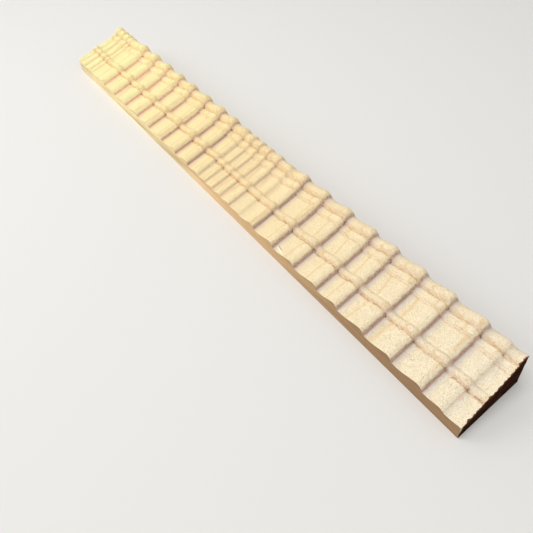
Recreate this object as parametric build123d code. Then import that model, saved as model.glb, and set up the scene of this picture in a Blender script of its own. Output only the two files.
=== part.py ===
from build123d import *
from math import radians, tan
import os

# Ripple moulding: one strip of wood, in millimetres.
# X runs along the strip, Y across it from the thin side to the thick side, and Z is up.
# The origin is the middle of the flat underside.

# The strip as sawn: one end is square, and the other leans back from its foot by some degrees
strip_length = 304.8
strip_width = 34.3
end_lean = 8.3

# Cross profile from the thin side, at the bottom of the ripples
thin_edge_height = 5.9
lower_panel_width = 11.3
lower_panel_rise = 3.0
bead_width = 3.7
bead_height = 1.2
bead_rise = 0.9
upper_panel_width = 9.7
upper_panel_rise = 2.9
small_step_run = 0.8
small_step_rise = 1.0
narrow_panel_width = 2.8
narrow_panel_rise = 0.8
shoulder_run = 0.5
shoulder_rise = 1.0
crown_height = 1.55
crown_fall = 0.2

# Heights of the ripples' crests before they are rounded
faint_crest = 0.8
fine_crest = 1.2
middle_crest = 1.5
bold_crest = 2.6

# Each ripple in turn, as its length up to the next steep face and the height of its crest
ripples = [
    (9.0, fine_crest), (5.9, fine_crest), (6.4, fine_crest), (4.0, faint_crest),
    (17.2, bold_crest), (13.6, bold_crest), (13.7, bold_crest), (13.9, bold_crest),
    (13.6, bold_crest), (14.2, bold_crest), (14.1, bold_crest), (11.8, bold_crest),
    (10.1, middle_crest), (6.7, fine_crest), (6.2, fine_crest), (6.5, fine_crest),
    (7.8, middle_crest), (8.1, faint_crest), (11.1, bold_crest), (14.0, bold_crest),
    (14.6, bold_crest), (14.5, bold_crest), (12.2, bold_crest), (14.9, bold_crest),
    (14.4, bold_crest), (14.7, bold_crest), (9.8, fine_crest),
]

# How much of the first ripple the square end has cut away
first_ripple_lost = 7.0

# A ripple is level for this share of its length, and then rises to its crest
level_share = 0.25

# A steep face is this share of its ripple's length, up to a longest run, and this share of it
# lies before the end of its ripple
steep_share = 0.22
longest_steep_run = 2.15
share_ahead = 0.6

# Rounding of the crests, as a share of the steep face; the hollows stay sharp
crest_rounding = 0.5

# How far the cutter runs past the wood on every side
cutter_margin = 6.0


def ripple_corners():
    """Foot of the rise, crest and hollow of each ripple in turn, after a level start."""
    ripple_end = -first_ripple_lost
    hollow = ripple_end
    corners = [(hollow - cutter_margin, 0)]
    count = 0
    while hollow < strip_length + cutter_margin:
        ripple_length, crest = ripples[count % len(ripples)]
        ripple_end += ripple_length
        steep_run = min(steep_share * ripple_length, longest_steep_run)
        crest_x = ripple_end - share_ahead * steep_run
        corners += [(hollow + level_share * ripple_length, 0), (crest_x, crest)]
        hollow = crest_x + steep_run
        corners.append((hollow, 0))
        count += 1
    return [Vector(x, 0, z) for x, z in corners]


def crest_radius(rise_foot, crest, hollow):
    """Radius that rounds a crest over its share of the steep face."""
    rise, fall = crest - rise_foot, hollow - crest
    half_turn = radians(rise.get_angle(fall)) / 2
    return crest_rounding * min(rise.length, fall.length) / tan(half_turn)


def ripple_path():
    """Rise and fall of the cutter along the strip, with rounded crests."""
    corners = ripple_corners()
    radii = []
    for rise_foot, crest, hollow in zip(corners[1::3], corners[2::3], corners[3::3]):
        radii += [0, crest_radius(rise_foot, crest, hollow), 0]
    return FilletPolyline(*corners, radius=radii[:-1])


def raised_arc(start, end, height):
    """An arc that stands a given height above the middle of the line from start to end."""
    middle = ((start[0] + end[0]) / 2, (start[1] + end[1]) / 2 + height)
    return ThreePointArc(start, middle, end)


def profile_corners():
    """The corners of the cross profile from the thin side to the thick side, as (y, z)."""
    steps = [
        (lower_panel_width, lower_panel_rise),
        (bead_width, bead_rise),
        (upper_panel_width, upper_panel_rise),
        (small_step_run, small_step_rise),
        (narrow_panel_width, narrow_panel_rise),
        (shoulder_run, shoulder_rise),
    ]
    corners = [(0, thin_edge_height)]
    for run, rise in steps:
        y, z = corners[-1]
        corners.append((y + run, z + rise))
    corners.append((strip_width, corners[-1][1] - crown_fall))
    return corners


def profile_lines(corners):
    """Lower panel, bead, upper panel, small step, narrow panel, shoulder and crown."""
    thin_edge, bead_foot, bead_end, step_foot, step_top = corners[:5]
    shoulder_foot, shoulder_top, thick_edge = corners[5:]
    return [
        Line(thin_edge, bead_foot),
        raised_arc(bead_foot, bead_end, bead_height),
        Line(bead_end, step_foot),
        Line(step_foot, step_top),
        Line(step_top, shoulder_foot),
        Line(shoulder_foot, shoulder_top),
        raised_arc(shoulder_top, thick_edge, crown_height),
    ]


def cutter_section(corners, top):
    """Shape of the cutter: the cross profile below, and clear of the wood above."""
    left, right = -cutter_margin, strip_width + cutter_margin
    (thin_y, thin_z), (thick_y, thick_z) = corners[0], corners[-1]
    frame = Polyline(
        (thin_y, thin_z), (left, thin_z), (left, top), (right, top), (right, thick_z), (thick_y, thick_z)
    )
    return make_face(profile_lines(corners) + [frame])


def blank(top):
    """The strip before the ripples are cut, with its leaning end."""
    top_length = strip_length - top * tan(radians(end_lean))
    outline = Polyline((0, 0), (strip_length, 0), (top_length, top), (0, top), close=True)
    return extrude(Plane.XZ * make_face(outline), -strip_width)


def ripple_moulding():
    """The blank with the profile cut into it while the cutter rises and falls."""
    corners = profile_corners()
    blank_top = corners[-1][1] + crown_height + bold_crest
    path = ripple_path()
    section = Plane.YZ.offset((path @ 0).X) * cutter_section(corners, blank_top + cutter_margin)
    waste = Solid.sweep(section.face(), Wire(path.edges()), mode=Vector(1, 0, 0))
    return Pos(-strip_length / 2, -strip_width / 2, 0) * (blank(blank_top) - waste)


os.makedirs("parts", exist_ok=True)
export_step(ripple_moulding(), "parts/ripple_moulding.step")
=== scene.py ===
import math
import bpy
import bmesh
import numpy as np
from mathutils import Matrix, Vector, noise


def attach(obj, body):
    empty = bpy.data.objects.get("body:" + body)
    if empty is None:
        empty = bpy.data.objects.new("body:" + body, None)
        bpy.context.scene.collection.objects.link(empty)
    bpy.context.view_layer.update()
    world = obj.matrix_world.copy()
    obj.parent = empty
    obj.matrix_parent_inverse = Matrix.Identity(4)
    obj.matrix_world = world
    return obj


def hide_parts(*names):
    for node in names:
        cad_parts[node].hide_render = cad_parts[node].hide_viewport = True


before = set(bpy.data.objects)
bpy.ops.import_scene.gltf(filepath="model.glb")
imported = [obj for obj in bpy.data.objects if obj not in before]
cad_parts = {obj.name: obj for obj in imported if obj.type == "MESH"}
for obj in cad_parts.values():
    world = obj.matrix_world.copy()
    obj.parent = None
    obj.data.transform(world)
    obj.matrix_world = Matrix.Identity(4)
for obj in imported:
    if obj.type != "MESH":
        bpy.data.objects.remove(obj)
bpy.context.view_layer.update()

mm = 0.001
print("frame loaded")

# the photo's view: a phone camera near the leaning end, looking down on the strip
cameraSetup = {
    "place": (0.15973, -0.10414, 0.16882),
    "right": (0.610513, 0.791973, -0.007303),
    "down": (0.61597, -0.480593, -0.624189),
    "forward": (-0.49785, 0.376577, -0.781239),
    "lens": 33.093, "sensor": 36, "nearest": 0.01, "farthest": 50,
}


def makeCamera(setup):
    cameraData = bpy.data.cameras.new("photoCamera")
    cameraData.lens, cameraData.sensor_width = setup["lens"], setup["sensor"]
    cameraData.clip_start, cameraData.clip_end = setup["nearest"], setup["farthest"]
    camera = bpy.data.objects.new("photoCamera", cameraData)
    bpy.context.collection.objects.link(camera)
    turn = Matrix((setup["right"], -Vector(setup["down"]), -Vector(setup["forward"]))).transposed()
    camera.matrix_world = Matrix.Translation(setup["place"]) @ turn.to_4x4()
    bpy.context.scene.camera = camera


makeCamera(cameraSetup)
print("camera placed")

# the strip: x from the square end, y from the thin side, all in millimetres
strip = {
    "length": 304.8, "width": 34.3, "endLean": 8.3,
    "thinEdge": 5.9,
    "profile": [                               # each corner, with the run and rise up to it
        ("beadFoot", 11.3, 3.0), ("beadEnd", 3.7, 0.9), ("stepFoot", 9.7, 2.9),
        ("stepTop", 0.8, 1.0), ("shoulderFoot", 2.8, 0.8), ("shoulderTop", 0.5, 1.0),
    ],
    "beadHeight": 1.2, "crownHeight": 1.55, "crownFall": 0.2,
    "faint": 0.8, "fine": 1.2, "middle": 1.5, "bold": 2.6,
    "ripples": [                               # length and height of each ripple
        (9.0, "fine"), (5.9, "fine"), (6.4, "fine"), (4.0, "faint"), (17.2, "bold"), (13.6, "bold"),
        (13.7, "bold"), (13.9, "bold"), (13.6, "bold"), (14.2, "bold"), (14.1, "bold"), (11.8, "bold"),
        (10.1, "middle"), (6.7, "fine"), (6.2, "fine"), (6.5, "fine"), (7.8, "middle"), (8.1, "faint"),
        (11.1, "bold"), (14.0, "bold"), (14.6, "bold"), (14.5, "bold"), (12.2, "bold"), (14.9, "bold"),
        (14.4, "bold"), (14.7, "bold"), (9.8, "fine"), (9.0, "fine"),
    ],
    "firstLost": 7.0, "levelShare": 0.25, "steepShare": 0.22, "longestSteep": 2.15, "shareAhead": 0.6,
    "crestRounding": 0.5, "riseBend": 2.2, "bendShare": 0.9, "leadIn": 6,
    "beadPoints": 24, "crownPoints": 32, "crestPoints": 14, "bendPoints": 9,
    "lastGap": 3, "leanStart": 0.8,            # the mesh starts to lean just past the last hollow
}


def arcPoints(start, end, height, count):
    # points on an arc that stands a given height above the middle of the line from start to end
    (ax, ay), (cx, cy) = start, end
    bx, by = (ax + cx) / 2, (ay + cy) / 2 + height
    d = 2 * (ax * (by - cy) + bx * (cy - ay) + cx * (ay - by))
    aa, bb, cc = ax * ax + ay * ay, bx * bx + by * by, cx * cx + cy * cy
    ox = (aa * (by - cy) + bb * (cy - ay) + cc * (ay - by)) / d
    oy = (aa * (cx - bx) + bb * (ax - cx) + cc * (bx - ax)) / d
    radius = math.hypot(ax - ox, ay - oy)
    turns = np.linspace(math.atan2(ay - oy, ax - ox), math.atan2(cy - oy, cx - ox), count)
    return list(zip(ox + radius * np.cos(turns), oy + radius * np.sin(turns)))


def profileLine(s):
    # height of the moulded face across the strip, and where its corners are
    names, points = ["thinEdge"], [(0.0, s["thinEdge"])]
    for name, run, rise in s["profile"]:
        names.append(name)
        points.append((points[-1][0] + run, points[-1][1] + rise))
    names.append("thickEdge")
    points.append((s["width"], points[-1][1] - s["crownFall"]))
    thinEdge, beadFoot, beadEnd, stepFoot, stepTop, shoulderFoot, shoulderTop, thickEdge = points
    line = [thinEdge] + arcPoints(beadFoot, beadEnd, s["beadHeight"], s["beadPoints"])
    line += [stepFoot, stepTop, shoulderFoot]
    line += arcPoints(shoulderTop, thickEdge, s["crownHeight"], s["crownPoints"])
    return np.array(line), {name: y for name, (y, z) in zip(names, points)}


def bentCorner(before, corner, after, count):
    # a soft bend in place of a corner
    shares = np.linspace(0, 1, count)
    return [before * (1 - t) ** 2 + corner * 2 * t * (1 - t) + after * t * t for t in shares]


def roundedCrest(riseFoot, crest, hollow, rounding, count):
    # an arc that touches the rise and the steep face
    rise, fall = crest - riseFoot, hollow - crest
    reach = rounding * min(rise.length, fall.length)
    turn = rise.angle(fall)
    radius = reach / math.tan(turn / 2)
    first = crest - rise.normalized() * reach
    centre = first + Vector((rise.y, -rise.x)).normalized() * radius
    start = math.atan2(first.y - centre.y, first.x - centre.x)
    turns = np.linspace(start, start - turn, count)
    return [centre + Vector((math.cos(a), math.sin(a))) * radius for a in turns]


def rippleLine(s):
    # rise and fall along the strip, and each ripple's start, crest, hollow and size
    end = hollow = -s["firstLost"]
    line, found = [Vector((hollow - s["leadIn"], 0))], []
    for length, kind in s["ripples"]:
        end += length
        steep = min(s["steepShare"] * length, s["longestSteep"])
        level = s["levelShare"] * length
        riseFoot = Vector((hollow + level, 0))
        crest = Vector((end - s["shareAhead"] * steep, s[kind]))
        nextHollow = Vector((crest.x + steep, 0))
        bend = min(s["riseBend"], s["bendShare"] * level)
        onRise = riseFoot + (crest - riseFoot).normalized() * bend
        line += bentCorner(riseFoot - Vector((bend, 0)), riseFoot, onRise, s["bendPoints"])
        arc = roundedCrest(riseFoot, crest, nextHollow, s["crestRounding"], s["crestPoints"])
        line += arc + [nextHollow]
        top = max(arc, key=lambda point: point.y)
        size = s[kind] / s["bold"]
        found.append({"start": hollow, "crest": top.x, "hollow": nextHollow.x, "size": size})
        hollow = nextHollow.x
    return np.array([tuple(point) for point in line]), found


profile, corners = profileLine(strip)
rippleCurve, ripples = rippleLine(strip)
starts, hollows, sizes = (np.array([r[key] for r in ripples]) for key in ("start", "hollow", "size"))
endSlope = math.tan(math.radians(strip["endLean"]))


def profileHeight(y):
    return np.interp(y, profile[:, 0], profile[:, 1])


def rippleHeight(x):
    return np.interp(x, rippleCurve[:, 0], rippleCurve[:, 1])


# the mesh's lines: how many there are, and how close they lie on each stretch next to the others
meshLines = {
    "along": 740, "rise": 0.7, "steepFace": 2.0, "afterHollow": 1.5, "end": 1.6,
    "crestLead": 1.0, "hollowTail": 1.0, "shortest": 0.3,
    "across": 104, "panels": [0.7, 1.9, 0.8, 2.2, 1.2, 3.5, 1.6],
    "upright": 10, "sharpAngle": 38,
}


def spacedLines(fixed, count, weights):
    # line positions from first to last fixed value, with one on each fixed value
    fixed = np.array(fixed)
    share = np.diff(fixed) * np.array(weights)
    counts = np.maximum(1, np.round(share / share.sum() * count)).astype(int)
    lines = [np.linspace(a, b, n + 1)[:-1] for a, b, n in zip(fixed, fixed[1:], counts)]
    return np.concatenate(lines + [fixed[-1:]])


def alongLines(s, lines):
    # closer lines on the crests, the steep faces and the hollows
    fixed, weights = [0.0], []
    for r in ripples:
        places = [
            (r["crest"] - lines["crestLead"], lines["rise"]),
            (r["hollow"], lines["steepFace"]),
            (r["hollow"] + lines["hollowTail"], lines["afterHollow"]),
        ]
        for place, weight in places:
            if fixed[-1] + lines["shortest"] < place < s["length"] - lines["shortest"]:
                weights.append(weight)
                fixed.append(place)
    return spacedLines(fixed + [s["length"]], lines["along"], weights + [lines["end"]])


def smooth(low, high, value):
    # from 0 at low to 1 at high
    t = np.clip((value - low) / (high - low), 0, 1)
    return t * t * (3 - 2 * t)


def hill(centre, width, value):
    # 1 at the centre, and near 0 from twice the width on
    return np.exp(-((value - centre) / width) ** 2)


def noiseAt(points, lumps, seed):
    # smooth noise between -1 and 1 at each point, from its lumps per millimetre along each axis
    offset = Vector((seed * 17.3, seed * 5.1, seed * 9.7))
    sx, sy, sz = lumps
    places = (Vector((px * sx, py * sy, pz * sz)) + offset for px, py, pz in points.tolist())
    return np.array([noise.noise(place) for place in places])


def raised(values):
    # noise moved from between -1 and 1 to between 0 and 1
    return 0.5 + 0.5 * values


def stripGrid(xs, ys, uprightCuts):
    # a flat sheet of faces, its rim drawn down to make the four sides, and a bottom
    bm = bmesh.new()
    bmesh.ops.create_grid(bm, x_segments=len(xs) - 1, y_segments=len(ys) - 1, size=1.0)
    rim = [e for e in bm.edges if e.is_boundary]
    walls = bmesh.ops.extrude_edge_only(bm, edges=rim)["geom"]
    lower = [v for v in walls if isinstance(v, bmesh.types.BMVert)]
    bmesh.ops.translate(bm, verts=lower, vec=(0, 0, -1))
    bmesh.ops.contextual_create(bm, geom=[e for e in bm.edges if e.is_boundary])
    upright = [e for e in bm.edges if abs(e.verts[0].co.z - e.verts[1].co.z) > 0.5]
    bmesh.ops.subdivide_edges(bm, edges=upright, cuts=uprightCuts, use_grid_fill=True)
    bmesh.ops.recalc_face_normals(bm, faces=bm.faces)
    mesh = bpy.data.meshes.new("woodStrip")
    bm.to_mesh(mesh)
    bm.free()
    return mesh


def shapeStrip(s, mesh, xs, ys):
    flat = np.empty(len(mesh.vertices) * 3)
    mesh.vertices.foreach_get("co", flat)
    flat = flat.reshape(-1, 3)
    across = np.interp(flat[:, 1], np.linspace(-1, 1, len(ys)), ys)
    along = np.interp(flat[:, 0], np.linspace(-1, 1, len(xs)), xs)
    level = 1 + flat[:, 2]                     # 1 on the moulded face, 0 on the underside
    leanStart = hollows[hollows < s["length"] - s["lastGap"]].max() + s["leanStart"]
    pull = np.clip((along - leanStart) / (s["length"] - leanStart), 0, 1)
    x = along.copy()
    for _ in range(4):                         # height and lean depend on each other, and settle
        z = level * (profileHeight(across) + rippleHeight(x))
        x = along - pull * endSlope * z
    return x, across, z, level


xLines = alongLines(strip, meshLines)
yLines = spacedLines(list(corners.values()), meshLines["across"], meshLines["panels"])
print("grid", len(xLines), "by", len(yLines))
stripMesh = stripGrid(xLines, yLines, meshLines["upright"])
x, y, z, level = shapeStrip(strip, stripMesh, xLines, yLines)
onFace = level > 0.999                         # true for the points of the moulded face
print("strip shaped,", len(x), "points")

# marks of wear, and painted shade and shadow in the hollows and along the steps, as masks for the wood's
# colours, with places and widths in millimetres
marks = {
    # noise that makes the edges of the marks uneven: lumps per millimetre and seed
    "wavy": ((0.35, 0.6, 0.3), 1), "ragged": ((1.1, 1.6, 0.8), 7), "wobble": 0.12,
    "hollowWobble": 2.2, "coolWobble": 3, "lineWobble": 0.6,
    # painted shade: dark bands in the hollows, with a darker painted core, narrower towards the square end
    "onHollow": 0.02,                          # a point this close past a hollow still belongs to it
    "shadeStart": 1.5, "shadeFull": 0.6, "shadeTail": 0.35, "sizePower": 1.6,
    "narrower": 0.55, "narrowFrom": 210, "narrowest": 60,
    "beadStart": 0.6, "beadStop": 0.3, "shadeOnBead": 0.6, "shadeOnCrown": 0.75,
    "coreBefore": 0.45, "coreWidth": 0.3, "coreOffBead": 0.6,
    # painted cool shadow of each crest over the trough after its hollow
    "coolReach": 3.2, "coolLead": 0.6,
    # warm painted shade, partly rubbed wood, on the feet and on the flanks that face the thin side:
    # corner, distance from it, width and strength
    "rubsAndShades": [
        ("beadFoot", -0.3, 0.35, 0.6), ("shoulderFoot", 0, 0.35, 0.5), ("stepFoot", 0, 0.49, 0.35),
        ("stepTop", 0, 0.35, 0.15), ("shoulderTop", 1.2, 1.5, 0.2),
    ],
    "rubAndShadeOnBead": 0.12,
    "flanks": {"beadFoot": 0.35, "shoulderFoot": 0.15},
    "flankLead": 0.2, "flankFull": 0.3, "flankFade": 1.9,
    # painted shade on the crown's back towards the square end
    "backShade": 0.8, "backStart": 31.0, "backFrom": 230, "backFull": 110,
    # painted shade: dark spots where the hollows cross the feet of the steps
    "crossings": {"beadFoot": 1.0, "shoulderFoot": 1.0, "stepFoot": 0.5},
    "crossingReach": 0.8, "crossingTail": 0.2, "crossingWidth": 0.6,
    # pale chipped corner, and browner wood below the leaning end's edge
    "chipAcross": (1.8, 0.4), "chipAlong": (301.5, 303.0), "chipUp": (2.0, 5.0), "chipWobble": (9, 12),
    "lip": (2.8, 0.0), "lipWobble": 8,
}


def hollowMarks(m, x, y, wobble, ragged):
    # painted shade in the hollows and its darker core, the painted cool shadow after them, and nearness to
    # a hollow
    following = np.clip(np.searchsorted(hollows, x - m["onHollow"]), 0, len(hollows) - 1)
    size, lastSize = sizes[following], sizes[np.maximum(following - 1, 0)]
    before = hollows[following] - x
    before = before * (1 + m["narrower"] * smooth(m["narrowFrom"], m["narrowest"], x))
    after = x - starts[following]
    wavyBefore = before + (wobble + ragged) * m["hollowWobble"]
    dark, lastDark = size ** m["sizePower"], lastSize ** m["sizePower"]
    shade = smooth(m["shadeStart"], m["shadeFull"], wavyBefore) * dark
    shade = np.maximum(shade, np.exp(-np.maximum(after, 0) / m["shadeTail"]) * lastDark)
    onBead = smooth(corners["beadFoot"], corners["beadFoot"] + m["beadStart"], y)
    onBead = onBead * smooth(corners["beadEnd"] + m["beadStop"], corners["beadEnd"] - m["beadStop"], y)
    onCrown = smooth(corners["stepFoot"], corners["stepTop"], y)
    shade *= 1 - (1 - m["shadeOnBead"]) * onBead - (1 - m["shadeOnCrown"]) * onCrown
    shadeCore = hill(m["coreBefore"], m["coreWidth"], wavyBefore) * dark * (1 - m["coreOffBead"] * onBead)
    coolShadow = smooth(m["coolReach"], -m["coolLead"], after + wobble * m["coolWobble"]) * lastSize
    nearHollow = hill(0, m["crossingReach"], np.minimum(before, after + m["crossingTail"]))
    return shade, shadeCore, coolShadow, onBead, nearHollow * np.maximum(size, lastSize)


# warm painted shade on the feet, on the flanks facing the thin side and on the crown's back, partly rubbed
# wood
def rubbedAndShadedWood(m, x, wavyY, onBead):
    rubAndShade = m["rubAndShadeOnBead"] * onBead
    for name, offset, width, strength in m["rubsAndShades"]:
        rubAndShade = rubAndShade + strength * hill(corners[name] + offset, width, wavyY)
    for name, strength in m["flanks"].items():
        foot = corners[name]
        rising = smooth(foot - m["flankLead"], foot + m["flankFull"], wavyY)
        rubAndShade += strength * rising * smooth(foot + m["flankFade"], foot + m["flankFull"], wavyY)
    back = smooth(m["backStart"], corners["thickEdge"], wavyY)
    return rubAndShade + m["backShade"] * back * smooth(m["backFrom"], m["backFull"], x)


# painted shade and shadow, warm painted shade partly from rubbing, the chipped corner and the band below
# the ends' top edge
def shadeAndWearMarks(m, x, y, z):
    points = np.stack([x, y, z], 1)
    wobble = noiseAt(points, *m["wavy"]) * m["wobble"]
    ragged = noiseAt(points, *m["ragged"]) * m["wobble"]
    shade, shadeCore, coolShadow, onBead, nearHollow = hollowMarks(m, x, y, wobble, ragged)
    wavyY = y + wobble * m["lineWobble"] + ragged
    rubAndShade = rubbedAndShadedWood(m, x, wavyY, onBead)
    crossingShade = nearHollow * sum(
        strength * hill(corners[name], m["crossingWidth"], wavyY)
        for name, strength in m["crossings"].items()
    )
    acrossWobble, upWobble = m["chipWobble"]
    chip = smooth(*m["chipAcross"], y + ragged * acrossWobble) * smooth(*m["chipAlong"], x)
    chip = chip * smooth(*m["chipUp"], z + ragged * upWobble)
    lip = smooth(*m["lip"], profileHeight(y) + rippleHeight(x) - z + ragged * m["lipWobble"])
    return {
        "shade": shade * onFace, "shadeCore": shadeCore * onFace, "coolShadow": coolShadow * onFace,
        "rubAndShade": np.clip(rubAndShade, 0, 1) * onFace, "crossingShade": np.clip(crossingShade, 0, 1) * onFace,
        "chip": chip, "lip": lip,
    }


def addMasks(mesh, masks):
    for name, values in masks.items():
        layer = mesh.attributes.new(name, "FLOAT", "POINT")
        layer.data.foreach_set("value", values.astype(np.float32))


addMasks(stripMesh, shadeAndWearMarks(marks, x, y, z))
print("work marks stored")

# small unevenness of the cut wood, in millimetres; each noise has its lumps per millimetre and a seed
relief = {
    "broad": ((0.12, 0.25, 0.2), 2), "waviness": 0.07,
    "close": ((1.1, 1.6, 0.6), 3), "pitting": 0.03,
    "torn": ((1.7, 2.4, 1.6), 4), "fuzz": 0.12, "fuzzAnywhere": 0.35,
    "tear": 0.4, "tearFrom": 0.1, "tearSpread": 1.6, "hollowReach": 0.9, "stepReach": 0.6,
    "saw": [(((0.1, 0.5, 2.6), 5), 0.5), (((1, 2.2, 2.2), 6), 0.5)], "sawDepth": 0.3, "sawBelow": 0.8,
    "teeth": [(((0.05, 1.25, 0.15), 8), 0.8), (((0.05, 2.1, 0.3), 9), 0.9)],
    "endTear": 0.6, "toothStart": 0.4, "longestTooth": 1.2, "tearReach": 4.0, "tearBelow": 2.2,
    "onEnd": 0.01, "evenFoot": 1.5,
}


def cutRelief(r, s, x, y, z):
    points = np.stack([x, y, z], 1)
    dz = -r["waviness"] * raised(noiseAt(points, *r["broad"]))
    dz -= r["pitting"] * raised(noiseAt(points, *r["close"]))
    torn = noiseAt(points, *r["torn"])
    nearHollow = hill(0, r["hollowReach"], np.abs(x[:, None] - hollows[None, :]).min(1))
    nearStep = sum(hill(corners[name], r["stepReach"], y) for name in ("beadFoot", "shoulderFoot"))
    tornPlaces = np.clip(nearHollow * nearStep * r["tearSpread"], 0, 1)
    dz -= r["tear"] * np.clip(torn - r["tearFrom"], 0, 1) * tornPlaces
    fuzzy = r["fuzzAnywhere"] + (1 - r["fuzzAnywhere"]) * nearHollow
    dz += r["fuzz"] * torn * nearStep * fuzzy
    z = z + dz * onFace
    fromEnd = s["length"] - endSlope * z - x
    below = profileHeight(y) + rippleHeight(x) - z
    saw = sum(noiseAt(points, *lumps) * strength for lumps, strength in r["saw"])
    teeth = sum(noiseAt(points, *lumps) * strength for lumps, strength in r["teeth"])
    depth = r["sawDepth"] * raised(saw) * (fromEnd < r["onEnd"]) * smooth(0, r["sawBelow"], below)
    tooth = r["endTear"] * np.clip(r["toothStart"] + teeth, 0, r["longestTooth"])
    depth += tooth * smooth(r["tearBelow"], 0.0, below) * np.clip(1 - fromEnd / r["tearReach"], 0, 1)
    return x - np.maximum(depth, 0) * np.clip(z / r["evenFoot"], 0, 1), z


x, z = cutRelief(relief, strip, x, y, z)


def placeStrip(s, mesh, x, y, z):
    # from the corner of the square end to the middle of the underside, and into metres
    place = np.stack([x - s["length"] / 2, y - s["width"] / 2, z], 1) * mm
    mesh.vertices.foreach_set("co", place.astype(np.float32).ravel())
    mesh.update()
    mesh.shade_smooth()
    mesh.set_sharp_from_angle(angle=math.radians(meshLines["sharpAngle"]))
    body = bpy.data.objects.new("woodStrip", mesh)
    bpy.context.collection.objects.link(body)
    return body


woodStrip = placeStrip(strip, stripMesh, x, y, z)
print("strip placed")


def linear(red, green, blue):
    # colour as seen on a screen, 0 to 255, to the shader's values
    def one(value):
        value /= 255
        return value / 12.92 if value <= 0.04045 else ((value + 0.055) / 1.055) ** 2.4
    return (one(red), one(green), one(blue), 1)


def grey(value):
    return (value, value, value, 1)


# colours of the wood, and of the painted light and shade laid on it; a list runs from the square end, at
# 0, to the leaning end, at 1
wood = {
    # yellower towards the square end: partly the wood's own tone, partly painted warm lamp light from that
    # end
    "cream": [(0.0, (254, 249, 179)), (0.5, (254, 233, 178)), (1.0, (254, 244, 217))],
    "blotch": (246, 220, 166), "ring": (238, 204, 148), "grain": (226, 188, 140),
    # painted cool shadow after each hollow
    "coolShadow": [(0.15, (250, 211, 174)), (0.4, (240, 204, 174)), (0.85, (217, 208, 202))],
    # warm painted shade, partly rubbed wood, on the feet and flanks
    "rubAndShade": [(0.2, (250, 192, 118)), (0.75, (220, 164, 110))],
    # painted shade in the creases at the feet of the steps, partly worn wood
    "footShadeAndWear": [(0.2, (222, 146, 84)), (0.75, (176, 116, 72))],
    # painted shade in the hollows, and its darker painted core
    "shade": [(0.15, (252, 200, 162)), (0.45, (198, 168, 148))],
    "shadeCore": [(0.15, (200, 138, 108)), (0.45, (112, 84, 74))],
    # painted shade where the hollows cross the feet of the steps
    "crossingShade": (84, 56, 42),
    # the pale torn sliver, and the painted shadow beside it
    "paleSliver": (254, 248, 222), "sliverShadow": (164, 138, 118),
    # the sides darken towards the leaning end: painted shade
    "side": [(0.33, (254, 232, 176)), (0.5, (232, 194, 142)), (0.88, (158, 123, 84))],
    "sideStreak": (118, 84, 50),
    # the sawn ends go near black towards the leaning end: painted shadow
    "sawn": [(0.2, (212, 176, 128)), (0.8, (34, 11, 4))],
    "sawnFibre": (96, 56, 34), "lip": (158, 106, 72), "chip": (226, 204, 172),
}

# how strongly each mark, ring and line shows, and how much of the grain shows along the strip
shows = {
    "coolShadow": 1.0, "rubAndShade": 0.8, "shade": 1.0, "shadeCore": 0.6, "crossingShade": 0.85, "lip": 0.9, "chip": 0.8,
    "ring": 0.7, "footShadeAndWear": 0.75, "grainAlong": [(0.1, 0.35), (0.75, 1)],
}

# textures: lumps per metre along each axis, detail and roughness of the noise, and then the noise
# where the mask starts, the noise where it is full, and how strongly it shows there
textures = {
    "blotch": ((40, 90, 90), 3.0, 0.5, 0.4, 0.75, 0.12),
    "fibre": ((90, 1300, 1300), 4.0, 0.6, 0.35, 0.75, 0.12),
    "pebble": ((3400, 2400, 2400), 1.0, 0.6, 0.46, 0.7, 0.75),
    "hair": ((240, 3000, 3000), 2.0, 0.6, 0.35, 0.65, 1.0),
    "patch": ((420, 500, 500), 3.0, 0.65, 0.3, 0.6, 1.0),
    "speck": ((1300, 1300, 1300), 2.0, 0.6, 0.42, 0.62, 1.0),
    "streak": ((24, 500, 800), 4.0, 0.7, 0.42, 0.72, 0.65),
    "sawMark": ((300, 260, 1100), 4.0, 0.65, 0.45, 0.85, 0.8),
}

# shine of each finish and depth of its texture in millimetres; chatter is the cutter's slanting marks
finishes = {
    "moulded": {
        "roughness": 0.6, "pebbleDepth": 0.5,
        "chatter": (2600, 500, 500), "chatterDetail": 1.0, "chatterTurn": -20, "chatterDepth": 0.35,
    },
    "side": {"roughness": 0.65, "bump": 0.3, "depth": 0.3},
    "sawn": {"roughness": 0.95, "specular": 0.02, "bump": 0.8, "depth": 0.6},
    # the ends' faces lie this near an end, and turn no further than this sideways and down
    "sawnFaces": {"reach": 3.5, "sideways": 0.8, "down": 0.9},
}


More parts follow.
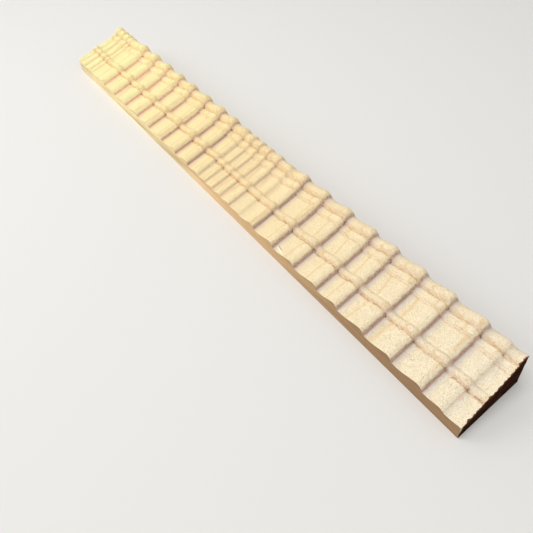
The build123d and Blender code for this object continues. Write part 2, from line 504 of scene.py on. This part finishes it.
class NodeSheet:
    # short calls for making and joining shader nodes
    def __init__(self, name):
        self.material = bpy.data.materials.new(name)
        self.material.use_nodes = True
        self.tree = self.material.node_tree
        self.shader = self.tree.nodes["Principled BSDF"]

    def add(self, kind, **values):
        node = self.tree.nodes.new(kind)
        for key, value in values.items():
            setattr(node, key, value)
        return node

    def join(self, source, target):
        self.tree.links.new(source, target)

    def value(self, socket, item):
        if hasattr(item, "is_output"):
            self.join(item, socket)
        else:
            socket.default_value = item

    def mix(self, factor, first, second):
        node = self.add("ShaderNodeMix", data_type="RGBA")
        for socket, item in ((0, factor), (6, first), (7, second)):     # 6 and 7 are the colour sockets
            self.value(node.inputs[socket], item)
        return node.outputs[2]

    def math(self, operation, first, second=0.0):
        node = self.add("ShaderNodeMath", operation=operation)
        self.value(node.inputs[0], first)
        self.value(node.inputs[1], second)
        return node.outputs[0]

    def greater(self, first, second):
        # the greater of two masks, or the second while there is no first
        return second if first is None else self.math("MAXIMUM", first, second)

    def ramp(self, factor, stops):
        node = self.add("ShaderNodeValToRGB")
        self.join(factor, node.inputs[0])
        elements = node.color_ramp.elements
        while len(elements) < len(stops):
            elements.new(0.5)
        for element, (place, colour) in zip(elements, stops):
            element.position = place
            element.color = colour
        return node.outputs[0]

    def fade(self, factor, low, high, show=1.0):
        # a mask that goes from nothing at low to show at high
        return self.ramp(factor, sorted([(low, grey(0)), (high, grey(show))]))

    def place(self, scale=(1, 1, 1), turn=0.0):
        mapping = self.add("ShaderNodeMapping")
        mapping.inputs["Rotation"].default_value = (0, 0, math.radians(turn))
        mapping.inputs["Scale"].default_value = scale
        self.join(self.add("ShaderNodeTexCoord").outputs["Object"], mapping.inputs[0])
        return mapping.outputs[0]

    def axes(self, place):
        node = self.add("ShaderNodeSeparateXYZ")
        self.join(place, node.inputs[0])
        return node.outputs

    def noise(self, lumps, detail, rough=0.5, turn=0.0):
        # noise with its own count of lumps per metre along each axis
        node = self.add("ShaderNodeTexNoise")
        self.join(self.place(lumps, turn), node.inputs["Vector"])
        node.inputs["Scale"].default_value = 1
        node.inputs["Detail"].default_value = detail
        node.inputs["Roughness"].default_value = rough
        return node.outputs[0]

    def texture(self, name):
        # a texture's noise, and the mask made from it
        lumps, detail, rough, low, high, show = textures[name]
        lumpy = self.noise(lumps, detail, rough)
        return lumpy, self.fade(lumpy, low, high, show)

    def bump(self, height, strength, depth, under=None):
        node = self.add("ShaderNodeBump")
        node.inputs["Strength"].default_value = strength
        node.inputs["Distance"].default_value = depth * mm
        self.join(height, node.inputs["Height"])
        if under is not None:
            self.join(under, node.inputs["Normal"])
        return node.outputs[0]

    def mask(self, name):
        mark = self.add("ShaderNodeAttribute", attribute_name=name).outputs["Fac"]
        return self.math("MULTIPLY", mark, shows[name])

    def tone(self, run, colour):
        # one colour, or a run of colours along the strip
        if isinstance(colour, list):
            return self.ramp(run, [(place, linear(*stop)) for place, stop in colour])
        return linear(*colour)

    def layered(self, run, base, layers):
        # the base colour, with each layer's colour laid over it through its mask
        colour = self.tone(run, wood[base])
        for name, mask in layers:
            colour = self.mix(mask, colour, self.tone(run, wood[name]))
        return colour

    def finish(self, colour, roughness, normal):
        self.join(colour, self.shader.inputs["Base Color"])
        self.shader.inputs["Roughness"].default_value = roughness
        self.join(normal, self.shader.inputs["Normal"])
        return self.material


# year rings: flat layers that climb with the face, a few millimetres apart
rings = {
    "climb": (0.025, -0.262, 0.965), "perMetre": 380.0, "start": 0.59,
    "waver": 0.0016, "waverLumps": (26, 45, 45), "waverDetail": 2.0,
    "bands": [(0.0, 0), (0.8, 0), (0.9, 1), (0.94, 0.4), (1.0, 0)],
}


def ringLines(sheet, r):
    # each ripple cuts a layer once, as a thin curved line across the strip
    toward = sheet.add("ShaderNodeVectorMath", operation="DOT_PRODUCT")
    sheet.join(sheet.place(), toward.inputs[0])
    toward.inputs[1].default_value = r["climb"]
    waver = sheet.math("MULTIPLY", sheet.noise(r["waverLumps"], r["waverDetail"]), r["waver"])
    count = sheet.math("MULTIPLY", sheet.math("ADD", toward.outputs["Value"], waver), r["perMetre"])
    ring = sheet.math("FRACT", sheet.math("ADD", count, r["start"]))
    return sheet.ramp(ring, [(place, grey(shows["ring"] * dark)) for place, dark in r["bands"]])


# worn lines with painted shade in the creases at the feet and on the flanks of the bead, the step and the
# shoulder
footLines = {
    "raggedness": 1.6, "lumps": (330, 400, 400), "detail": 3.0, "rough": 0.6, "solid": 0.1,
    "lines": [                                 # corner, mm from it, width in mm, strength
        ("beadFoot", -0.25, 0.5, 1.0), ("beadFoot", 0.4, 0.3, 0.3), ("stepFoot", 0.0, 0.35, 0.35),
        ("stepTop", 0.0, 0.3, 0.25), ("shoulderFoot", 0.0, 0.45, 0.5),
        ("shoulderFoot", 0.6, 0.3, 0.35), ("shoulderFoot", 1.1, 0.3, 0.3),
    ],
}


def wornAndShadedLines(sheet, f):
    # thin ragged lines along the strip, each at its own place across it
    centred = sheet.math("SUBTRACT", sheet.noise(f["lumps"], f["detail"], f["rough"]), 0.5)
    ragged = sheet.math("MULTIPLY", centred, f["raggedness"] * mm)
    wavy = sheet.math("ADD", sheet.axes(sheet.place())[1], ragged)
    total = None
    for name, offset, width, strength in f["lines"]:
        middle = (corners[name] + offset - strip["width"] / 2) * mm
        away = sheet.math("ABSOLUTE", sheet.math("SUBTRACT", wavy, middle))
        share = sheet.math("DIVIDE", away, width * mm)
        total = sheet.greater(total, sheet.fade(share, 1.0, f["solid"], shows["footShadeAndWear"] * strength))
    return total


# torn slivers at the edges: x and y of the middle, half length, half width, and turn in degrees
slivers = {
    "taper": 3.0, "solid": 0.6,
    "places": {
        "paleSliver": [(204.9, 1.4, 2.8, 0.5, -11), (169.5, 31.8, 1.6, 0.35, 8)],
        # painted shadow beside the pale torn sliver
        "sliverShadow": [(204.2, 2.3, 1.9, 0.16, -14)],
    },
}


def tornSlivers(sheet, s, name):
    # each sliver narrows to a point at both ends, and has a soft edge
    total = None
    for along, across, reach, width, turn in s["places"][name]:
        middle = ((along - strip["length"] / 2) * mm, (across - strip["width"] / 2) * mm, 0)
        mapping = sheet.add("ShaderNodeMapping", vector_type="TEXTURE")
        mapping.inputs["Location"].default_value = middle
        mapping.inputs["Rotation"].default_value = (0, 0, math.radians(turn))
        mapping.inputs["Scale"].default_value = (reach * mm, width * mm, 1)
        sheet.join(sheet.place(), mapping.inputs[0])
        endwise, sidewise = (sheet.math("ABSOLUTE", side) for side in sheet.axes(mapping.outputs[0])[:2])
        away = sheet.math("ADD", sheet.math("POWER", endwise, s["taper"]), sidewise)
        total = sheet.greater(total, sheet.fade(away, 1.0, s["solid"]))
    return total


def alongStrip(sheet):
    # 0 at the square end, 1 at the leaning end
    return sheet.math("ADD", sheet.math("DIVIDE", sheet.axes(sheet.place())[0], strip["length"] * mm), 0.5)


def mouldedWood(f):
    sheet = NodeSheet("mouldedWood")
    run = alongStrip(sheet)
    pebbles, pebbled = sheet.texture("pebble")
    grainAlong = sheet.ramp(run, [(place, grey(share)) for place, share in shows["grainAlong"]])
    hairs, patches, specks = (sheet.texture(name)[1] for name in ("hair", "patch", "speck"))
    # the cool band, warm bands, foot lines, dark bands, their core, the spots and the dark sliver are
    # painted shade and shadow; the warm bands and foot lines are partly worn wood
    layers = [
        ("blotch", sheet.texture("blotch")[1]),
        ("ring", ringLines(sheet, rings)),
        ("ring", sheet.texture("fibre")[1]),
        ("grain", sheet.math("MULTIPLY", pebbled, grainAlong)),
        ("coolShadow", sheet.mask("coolShadow")),
        ("rubAndShade", sheet.math("MULTIPLY", sheet.mask("rubAndShade"), hairs)),
        ("footShadeAndWear", sheet.math("MULTIPLY", wornAndShadedLines(sheet, footLines), patches)),
        ("shade", sheet.mask("shade")),
        ("shadeCore", sheet.math("MULTIPLY", sheet.mask("shadeCore"), specks)),
        ("crossingShade", sheet.math("MULTIPLY", sheet.mask("crossingShade"), specks)),
    ]
    layers += [(name, tornSlivers(sheet, slivers, name)) for name in slivers["places"]]
    chatter = sheet.noise(f["chatter"], f["chatterDetail"], turn=f["chatterTurn"])
    normal = sheet.bump(chatter, 1.0, f["chatterDepth"])
    normal = sheet.bump(pebbles, 1.0, f["pebbleDepth"], normal)
    return sheet.finish(sheet.layered(run, "cream", layers), f["roughness"], normal)


# the sides, back and underside, with painted shade darkening them towards the leaning end
def sideWood(f):
    sheet = NodeSheet("sideWood")
    streak, streaked = sheet.texture("streak")
    colour = sheet.layered(alongStrip(sheet), "side", [("sideStreak", streaked)])
    return sheet.finish(colour, f["roughness"], sheet.bump(streak, f["bump"], f["depth"]))


# the sawn ends, with painted shadow darkening the leaning end
def sawnWood(f):
    sheet = NodeSheet("sawnWood")
    sawMark, sawMarked = sheet.texture("sawMark")
    layers = [("sawnFibre", sawMarked), ("lip", sheet.mask("lip")), ("chip", sheet.mask("chip"))]
    colour = sheet.layered(alongStrip(sheet), "sawn", layers)
    sheet.shader.inputs["Specular IOR Level"].default_value = f["specular"]
    return sheet.finish(colour, f["roughness"], sheet.bump(sawMark, f["bump"], f["depth"]))


def dressStrip(body, f):
    # the moulded face, the sides and the two sawn ends each get their own finish
    mesh = body.data
    for material in (mouldedWood(f["moulded"]), sideWood(f["side"]), sawnWood(f["sawn"])):
        mesh.materials.append(material)
    moulded, side, sawn = range(3)
    ends = f["sawnFaces"]
    nearEnd = (strip["length"] / 2 - ends["reach"]) * mm
    for face in mesh.polygons:
        endwise = abs(face.normal.y) < ends["sideways"] and face.normal.z > -ends["down"]
        if all(onFace[v] for v in face.vertices):
            face.material_index = moulded
        elif endwise and abs(face.center.x) > nearEnd:
            face.material_index = sawn
        else:
            face.material_index = side


dressStrip(woodStrip, finishes)
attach(woodStrip, "root")
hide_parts("ripple_moulding")
print("wood finished")

# plain pale floor, soft light from above and a little from beside the square end, in metres and watts
stage = {
    "floor": (222, 220, 216), "floorRoughness": 0.9, "floorReach": 4,
    "sky": 0.56, "backdrop": 0.9,
    "lamps": {
        "overheadLamp": {"place": (-0.1, -0.3, 1.1), "size": 0.6, "power": 6.5, "spread": 180},
        "sideLamp": {"place": (-0.6, -0.55, 0.45), "size": 0.5, "power": 0.5, "spread": 70},
    },
}


def makeFloor(s):
    bm = bmesh.new()
    bmesh.ops.create_grid(bm, x_segments=1, y_segments=1, size=s["floorReach"])
    mesh = bpy.data.meshes.new("floor")
    bm.to_mesh(mesh)
    bm.free()
    floor = bpy.data.objects.new("floor", mesh)
    bpy.context.collection.objects.link(floor)
    sheet = NodeSheet("paleFloor")
    sheet.shader.inputs["Base Color"].default_value = linear(*s["floor"])
    sheet.shader.inputs["Roughness"].default_value = s["floorRoughness"]
    mesh.materials.append(sheet.material)


def makeLamps(lamps):
    for name, setup in lamps.items():
        light = bpy.data.lights.new(name, "AREA")
        light.energy, light.size = setup["power"], setup["size"]
        light.spread = math.radians(setup["spread"])
        lamp = bpy.data.objects.new(name, light)
        bpy.context.collection.objects.link(lamp)
        lamp.location = setup["place"]
        lamp.rotation_euler = (-Vector(setup["place"])).to_track_quat("-Z", "Y").to_euler()


def makeSky(s):
    # the sky lights the strip softly, and the camera, gloss and glass see a paler backdrop
    world = bpy.context.scene.world or bpy.data.worlds.new("studio")
    bpy.context.scene.world = world
    world.use_nodes = True
    tree = world.node_tree
    background = tree.nodes["Background"]
    background.inputs["Color"].default_value = (1, 1, 1, 1)
    strength = tree.nodes.new("ShaderNodeMix")
    strength.inputs[2].default_value, strength.inputs[3].default_value = s["sky"], s["backdrop"]
    rays = tree.nodes.new("ShaderNodeLightPath").outputs
    seen = rays["Is Camera Ray"]
    for kind in ("Is Glossy Ray", "Is Transmission Ray"):
        either = tree.nodes.new("ShaderNodeMath")
        either.operation = "MAXIMUM"
        tree.links.new(seen, either.inputs[0])
        tree.links.new(rays[kind], either.inputs[1])
        seen = either.outputs[0]
    tree.links.new(seen, strength.inputs[0])
    tree.links.new(strength.outputs[0], background.inputs["Strength"])


makeFloor(stage)
makeLamps(stage["lamps"])
makeSky(stage)
bpy.context.scene.view_settings.view_transform = "Standard"
print("stage lit")
